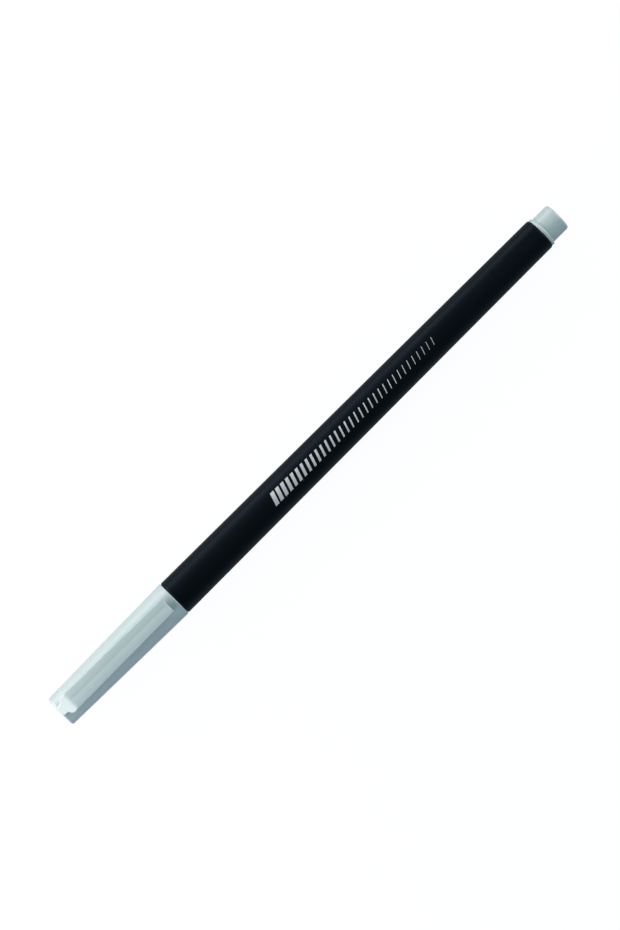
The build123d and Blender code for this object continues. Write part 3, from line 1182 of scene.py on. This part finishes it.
    def swept(self, along: Array, half_across: Array, half_up: Array) -> Shell:
        """Closed shell through sections, each half mirrored across the clip's middle.

        Args:
            along: places of the sections, as a column.
            half_across: distances across of each right half, from the top's middle to the bottom's.
            half_up: heights above the axis of the same points.

        Returns:
            The closed shell.
        """
        across = np.concatenate([half_across, -half_across[:, -2:0:-1]], axis=1)
        up = np.concatenate([half_up, half_up[:, -2:0:-1]], axis=1) + self.cap.stations.axis_height
        return tube(np.stack([np.repeat(along, across.shape[1], axis=1), across, up], axis=2))


@dataclass
class Liner:
    """Thin inner cap that seals the writing tip."""

    axis_height: float
    radius: float = 0.00305
    bore_radius: float = 0.0026
    end_wall: float = 0.0006
    lead_in: float = 0.0002

    def build(self, finish: MouldedPlastic) -> None:
        """Turn the liner and dress it.

        Args:
            finish: finish of the liner.
        """
        low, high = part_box("inner_cap")
        start, end = low.x, high.x
        shell = lathe([
            Corner(start, 0.0),
            Corner(start, self.radius, self.lead_in),
            Corner(end, self.radius),
            Corner(end, self.bore_radius + self.lead_in),
            Corner(end - self.lead_in, self.bore_radius),
            Corner(start + self.end_wall, self.bore_radius, self.lead_in),
            Corner(start + self.end_wall, 0.0),
        ], self.axis_height, ring=False)
        liner = make_piece("cap_liner", [shell])
        place(liner, Body.CAP, Slot.NATURAL_PLASTIC, finish.material(), "inner_cap")


@dataclass
class WritingEnd:
    """Grip section, ferrule and nib."""

    stations: Stations
    spigot: Stretch = Stretch(0.00348, 0.012)
    spigot_lead_in: float = 0.00025
    socket: Stretch = Stretch(0.00298, 0.002)
    land: Stretch = Stretch(0.00375, 0.0012)
    neck: Stretch = Stretch(0.0036, 0.0085)
    ring_length: float = 0.0012
    ring_setback: float = 0.0015
    ring_rounding: float = 0.001
    edge_rounding: float = 0.00012
    seal: Stretch = Stretch(0.00257, 0.003)
    seal_step: float = 0.0003
    grip_rounding: float = 0.00025
    nose: Stretch = Stretch(0.0011, 0.0065)
    nose_rounding: float = 0.0002
    wick_radius: float = 0.00103
    ferrule_radius: float = 0.00065
    ferrule_tip_radius: float = 0.0004
    ferrule_taper: float = 0.0007
    ferrule_seat: float = 0.0045
    ferrule_lip: float = 0.00006
    nib_radius: float = 0.00025
    nib_rounding: float = 0.00015
    clearance: float = 0.00002

    def build(self, section: MouldedPlastic, ferrule: DrawnMetal, nib: InkedFibre) -> None:
        """Turn the three pieces and dress each.

        Args:
            section: finish of the grip section.
            ferrule: finish of the ferrule.
            nib: finish of the nib.
        """
        self.build_section(section)
        self.build_ferrule(ferrule)
        self.build_nib(nib)

    def build_section(self, finish: MouldedPlastic) -> None:
        """Front moulding: spigot, land, neck with its snap ring, tapered grip, seal land and nose.

        Args:
            finish: finish of the grip section.
        """
        mouth = self.stations.mouth
        nose_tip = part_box("grip_section")[0].x
        seal_front = nose_tip + self.nose.length
        seal_rear = seal_front + self.seal.length
        neck_front = mouth - self.neck.length
        ring_front = neck_front + self.ring_setback
        ring_rear = ring_front + self.ring_length
        spigot_rear = mouth + self.spigot.length
        socket_floor = mouth + self.socket.length
        ferrule_bore = self.ferrule_radius + self.clearance
        ferrule_rear = nose_tip + self.ferrule_seat
        shell = lathe([
            Corner(spigot_rear, self.spigot.radius - self.spigot_lead_in),
            Corner(spigot_rear - self.spigot_lead_in, self.spigot.radius),
            Corner(mouth, self.spigot.radius),
            Corner(mouth, self.land.radius),
            Corner(mouth - self.land.length, self.land.radius, self.edge_rounding),
            Corner(mouth - self.land.length, self.neck.radius),
            Corner(ring_rear, self.neck.radius),
            Corner((ring_front + ring_rear) / 2, self.land.radius, self.ring_rounding),
            Corner(ring_front, self.neck.radius),
            Corner(neck_front, self.neck.radius, self.ring_rounding),
            Corner(seal_rear, self.seal.radius + self.seal_step, self.grip_rounding),
            Corner(seal_rear, self.seal.radius),
            Corner(seal_front, self.seal.radius, self.grip_rounding),
            Corner(nose_tip, self.nose.radius, self.nose_rounding),
            Corner(nose_tip, ferrule_bore),
            Corner(ferrule_rear, ferrule_bore),
            Corner(ferrule_rear, self.wick_radius),
            Corner(socket_floor, self.wick_radius),
            Corner(socket_floor, self.socket.radius),
            Corner(spigot_rear, self.socket.radius),
        ], self.stations.axis_height)
        section = make_piece("section_body", [shell])
        place(section, Body.PEN, Slot.SECTION, finish.material(), "grip_section")

    def build_ferrule(self, finish: DrawnMetal) -> None:
        """Metal tube, drawn in and rolled over at its tip.

        Args:
            finish: finish of the ferrule.
        """
        low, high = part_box("nib_ferrule")
        bore = self.nib_radius + self.clearance
        shell = lathe([
            Corner(low.x, bore, self.ferrule_lip),
            Corner(low.x, self.ferrule_tip_radius, self.ferrule_lip),
            Corner(low.x + self.ferrule_taper, self.ferrule_radius, self.ferrule_taper / 2),
            Corner(high.x, self.ferrule_radius),
            Corner(high.x, bore),
        ], self.stations.axis_height)
        ferrule = make_piece("ferrule_tube", [shell])
        place(ferrule, Body.PEN, Slot.FERRULE, finish.material(), "nib_ferrule")

    def build_nib(self, finish: InkedFibre) -> None:
        """Capillary point with a worn-round tip.

        Args:
            finish: finish of the nib.
        """
        low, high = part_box("nib")
        shell = lathe([
            Corner(low.x, 0.0),
            Corner(low.x, self.nib_radius, self.nib_rounding),
            Corner(high.x, self.nib_radius),
            Corner(high.x, 0.0),
        ], self.stations.axis_height, ring=False)
        place(make_piece("nib_point", [shell]), Body.PEN, Slot.NIB, finish.material(), "nib")


@dataclass
class EndPlug:
    """Tail plug: post for the cap, flange, spigot and the four legs that hold the ink store."""

    stations: Stations
    flange: Stretch = Stretch(0.004025, 0.00075)
    flange_rounding: float = 0.00015
    post_radius: float = 0.00365
    post_rounding: float = 0.0005
    end_wall: float = 0.0012
    spigot: Stretch = Stretch(0.00313, 0.006)
    hollow_radius: float = 0.00225
    leg_radius: float = 0.00295
    leg_gap: float = 0.002
    leg_count: int = 4
    leg_points: int = 13

    def build(self, finish: MouldedPlastic) -> None:
        """Turn the plug, set its legs and dress them together.

        Args:
            finish: finish of the plug.
        """
        tail, end = self.stations.tail, self.stations.post_end
        flange_end = tail + self.flange.length
        spigot_front = tail - self.spigot.length
        body = lathe([
            Corner(end, 0.0),
            Corner(end, self.post_radius, self.post_rounding),
            Corner(flange_end, self.post_radius, self.flange_rounding),
            Corner(flange_end, self.flange.radius, self.flange_rounding),
            Corner(tail, self.flange.radius, self.flange_rounding),
            Corner(tail, self.spigot.radius),
            Corner(spigot_front, self.spigot.radius, self.flange_rounding),
            Corner(spigot_front, self.hollow_radius),
            Corner(end - self.end_wall, self.hollow_radius),
            Corner(end - self.end_wall, 0.0),
        ], self.stations.axis_height, ring=False)
        legs = [self.leg(angle) for angle in angles_round(self.leg_count, offset=0.5)]
        plug = make_piece("plug_body", [body, *legs])
        place(plug, Body.PEN, Slot.PALE_PLASTIC, finish.material(), "end_plug")

    def leg(self, angle: float) -> Shell:
        """One leg: a sector of a tube, from the ink store's end into the spigot.

        The section runs along the outer arc and back along the inner one, each cut short by half the gap.

        Args:
            angle: angle of the leg's middle about the axis, from the top.

        Returns:
            The closed leg.
        """
        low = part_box("end_plug")[0]
        spread = np.linspace(-1.0, 1.0, self.leg_points)
        sides = []
        for radius, direction in ((self.leg_radius, 1.0), (self.hollow_radius, -1.0)):
            half = np.pi / self.leg_count - np.arcsin(self.leg_gap / 2 / radius)
            turn = angle + direction * half * spread
            sides.append(radius * np.stack([np.sin(turn), np.cos(turn)], axis=1))
        section = np.concatenate(sides)[None, :, :]
        along = np.array([low.x, self.stations.tail - self.spigot.length / 2])[:, None]
        side = np.repeat(section[:, :, 0], len(along), axis=0)
        up = np.repeat(section[:, :, 1], len(along), axis=0) + self.stations.axis_height
        return tube(np.stack([np.repeat(along, section.shape[1], axis=1), side, up], axis=2))


@dataclass
class InkStore:
    """Wick, fibre core and film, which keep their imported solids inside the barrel."""

    fibre: InkedFibre
    film: ClearFilm

    def dress(self) -> None:
        """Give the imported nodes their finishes."""
        inked = self.fibre.material()
        finishes = {"feed_wick": inked, "ink_reservoir": inked, "reservoir_film": self.film.material()}
        for node, material in finishes.items():
            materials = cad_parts[node].data.materials
            materials.clear()
            materials.append(material)
            LOG.info("%s dressed", node)


# Studio


class Tint(Enum):
    """Colours of the lamps."""

    PLAIN = (1.12, 1.0, 0.97)
    WARM = (1.2, 1.0, 0.95)
    CREAM = (1.08, 1.0, 0.86)


@dataclass(frozen=True)
class Lamp:
    """Soft lamp: where it hangs, how large it is and how strong."""

    name: str
    spot: Triple
    size: Span
    power: float
    tint: Tint = Tint.PLAIN


@dataclass
class Studio:
    """Pale floor, surrounding light and soft lamps."""

    axis_height: float
    floor_half_size: float = 3.0
    floor_drop: float = 0.00002
    shadow_share: float = 0.2
    gloss_share: float = 0.1
    paper: Colour = (0.35, 0.44, 0.5)
    paper_roughness: float = 0.9
    paper_glow: float = 1.185
    ambient: float = 0.14
    ambient_colour: Colour = (0.45, 1.0, 1.6)
    lamps: tuple[Lamp, ...] = (
        Lamp("side_low", (0.0, 0.587, 0.13), (0.9, 0.25), 1.45, Tint.WARM),
        Lamp("side_high", (0.15, 0.424, 0.429), (0.9, 0.5), 0.2),
        Lamp("left_low", (-0.415, 0.415, 0.13), (0.5, 0.25), 2.1, Tint.WARM),
        Lamp("cap_side", (-0.29, 0.0, 0.136), (0.3, 0.18), 0.31),
        Lamp("cap_near", (-0.19, 0.0, 0.115), (0.14, 0.1), 0.067),
        Lamp("tail_mid", (0.45, 0.0, 0.35), (0.4, 0.3), 1.19, Tint.CREAM),
        Lamp("tail_low", (0.6, 0.0, 0.065), (0.4, 0.12), 0.99, Tint.CREAM),
    )

    def build(self) -> None:
        """Set up the floor, the surrounding light and the lamps."""
        self.lay_floor()
        self.light_world()
        for lamp in self.lamps:
            self.hang(lamp)

    def lay_floor(self) -> None:
        """Wide flat floor: one square just under the pen, each corner half its size from the middle."""
        half, low = self.floor_half_size, -self.floor_drop
        points = [(-half, -half, low), (half, -half, low), (half, half, low), (-half, half, low)]
        mesh = bpy.data.meshes.new("studio_floor")
        mesh.from_pydata(points, [], [tuple(range(len(points)))])
        mesh.materials.append(self.floor_material())
        floor = bpy.data.objects.new("studio_floor", mesh)
        bpy.context.scene.collection.objects.link(floor)

    def floor_material(self) -> bpy.types.Material:
        """Paper that takes the shadow, mixed with plain white for what the camera, gloss and glass see.

        Returns:
            The new material.
        """
        graph = Surface("studio_paper")
        graph.finish(
            Base_Color=opaque(self.paper), Roughness=self.paper_roughness, Specular_IOR_Level=0.0
        )
        glow = {"Color": opaque(WHITE), "Strength": self.paper_glow}
        white = graph.node("ShaderNodeEmission", {}, glow)
        seen = seen_share(graph, self.gloss_share) * (1.0 - self.shadow_share)
        sides = {"Shader": graph.shader.outputs["BSDF"], "Shader_001": white.outputs["Emission"]}
        mixed = graph.node("ShaderNodeMixShader", {}, {"Fac": seen, **sides})
        graph.feed(graph.output, "Surface", mixed.outputs["Shader"])
        return graph.material

    def light_world(self) -> None:
        """White surroundings for what is seen, at a lower level for the light they give."""
        world = bpy.data.worlds.new("studio_world")
        bpy.context.scene.world = world
        world.use_nodes = True
        graph = Graph(world.node_tree)
        background = graph.tree.nodes["Background"]
        plain = seen_share(graph, 1.0)
        graph.feed(background, "Color", graph.blend(plain, self.ambient_colour, WHITE))
        seen = seen_share(graph, self.gloss_share)
        graph.feed(background, "Strength", self.ambient + (1.0 - self.ambient) * seen)

    def hang(self, lamp: Lamp) -> None:
        """Hang one lamp, facing the middle of the pen.

        Args:
            lamp: the lamp.
        """
        data = bpy.data.lights.new(lamp.name, "AREA")
        data.shape = "RECTANGLE"
        data.size, data.size_y = lamp.size
        data.energy = lamp.power
        data.color = lamp.tint.value
        holder = bpy.data.objects.new(lamp.name, data)
        holder.visible_camera = False
        bpy.context.scene.collection.objects.link(holder)
        spot = Vector(lamp.spot)
        facing = Vector((0.0, 0.0, self.axis_height)) - spot
        holder.location = spot
        holder.rotation_euler = facing.to_track_quat("-Z", "Y").to_euler()
        LOG.info("%s at %s", lamp.name, lamp.spot)


def seen_share(graph: Graph, gloss_share: float) -> Signal:
    """Share of plain white that a ray sees: all from the camera or through glass, a share from gloss.

    Args:
        graph: node tree of the floor or of the world.
        gloss_share: share that a glossy ray sees.

    Returns:
        The share, at most 1, and 0 for any other ray.
    """
    path = graph.node("ShaderNodeLightPath", {}, {})
    camera = Signal(graph, path.outputs["Is Camera Ray"])
    gloss = Signal(graph, path.outputs["Is Glossy Ray"])
    glass = Signal(graph, path.outputs["Is Transmission Ray"])
    return graph.maths("MINIMUM", camera + gloss_share * gloss + glass, 1.0)


@dataclass
class Camera:
    """Long lens over the cap's mouth, with the pen running up to the right."""

    stations: Stations
    distance: float = 0.99
    target: Span = (-0.00026, -0.00031)
    pen_angle: float = 44.946
    view_height: float = 0.2181
    sensor_mm: float = 36.0
    clip_reach: float = 10.0

    def build(self) -> None:
        """Make the camera and look through it."""
        data = bpy.data.cameras.new("photo_camera")
        data.sensor_width = self.sensor_mm
        data.lens = self.sensor_mm * self.distance / self.view_height
        data.clip_start = self.distance / self.clip_reach
        data.clip_end = self.distance * self.clip_reach
        camera = bpy.data.objects.new("photo_camera", data)
        bpy.context.scene.collection.objects.link(camera)
        height = self.stations.axis_height
        eye = Vector((self.stations.mouth, 0.0, height + self.distance))
        back = (eye - Vector((*self.target, height))).normalized()
        angle = np.radians(self.pen_angle)
        upward = Vector((np.sin(angle), np.cos(angle), 0.0))
        right = upward.cross(back).normalized()
        upward = back.cross(right)
        camera.matrix_world = Matrix.Translation(eye) @ Matrix((right, upward, back)).transposed().to_4x4()
        bpy.context.scene.camera = camera


def main() -> None:
    """Build the pen, dress it and set up the studio."""
    logging.basicConfig(level=logging.INFO, format="%(name)s: %(message)s")
    stations = Stations.measured()
    height = stations.axis_height
    pale = MouldedPlastic(
        name="satin_pale_plastic",
        colour=(0.505, 0.655, 0.652),
        deeper=(0.468, 0.625, 0.627),
        roughness=0.36,
        axis_height=height,
        specular=1.0,
        sheen=0.25,
    )
    natural = MouldedPlastic(
        name="natural_plastic",
        colour=(0.8, 0.8, 0.77),
        deeper=(0.74, 0.74, 0.7),
        roughness=0.5,
        axis_height=height,
    )
    black = MouldedPlastic(
        name="section_black_plastic",
        colour=(0.008, 0.0105, 0.0125),
        deeper=(0.0055, 0.0075, 0.009),
        roughness=0.36,
        axis_height=height,
    )
    lacquer = SoftTouchLacquer(
        name="soft_touch_black",
        colour=(0.0008, 0.0014, 0.0002),
        polished=(0.0006, 0.0011, 0.0002),
        roughness=0.45,
        specular=0.235,
        tint=(0.31, 0.56, 1.0),
    )
    foil = StampedFoil(
        name="silver_foil", colour=(0.84, 0.92, 0.95), bare=(0.004, 0.004, 0.004), roughness=0.3
    )
    steel = DrawnMetal(
        name="drawn_steel", colour=(0.66, 0.65, 0.64), darker=(0.48, 0.48, 0.48), roughness=0.28
    )
    tip_fibre = InkedFibre(name="nib_fibre", colour=(0.02, 0.02, 0.02), dry=(0.09, 0.09, 0.09))
    ink_fibre = InkedFibre(name="ink_fibre", colour=(0.012, 0.012, 0.014), dry=(0.06, 0.06, 0.065))
    film = ClearFilm(name="clear_film", colour=(0.8, 0.82, 0.83), alpha=0.3)
    barrel = Barrel(stations)
    barrel.build(lacquer)
    FoilStrokes(barrel).build(foil)
    cap = Cap(stations)
    cap.build(pale)
    clip = Clip(cap)
    # The clip's copy of the pale plastic carries the painted highlight line along the middle of its top.
    clip_pale_with_painted_highlight = replace(
        pale,
        name="clip_pale_plastic_painted_highlight",
        crest_highlight_half_width=0.00018,
        crest_highlight_level=height + clip.top - clip.lobe_fade,
    )
    clip.build(clip_pale_with_painted_highlight)
    Liner(height).build(natural)
    WritingEnd(stations).build(black, steel, tip_fibre)
    EndPlug(stations).build(pale)
    InkStore(ink_fibre, film).dress()
    Studio(height).build()
    Camera(stations).build()
    bpy.context.scene.view_settings.view_transform = "Standard"


if __name__ == "__main__":
    main()
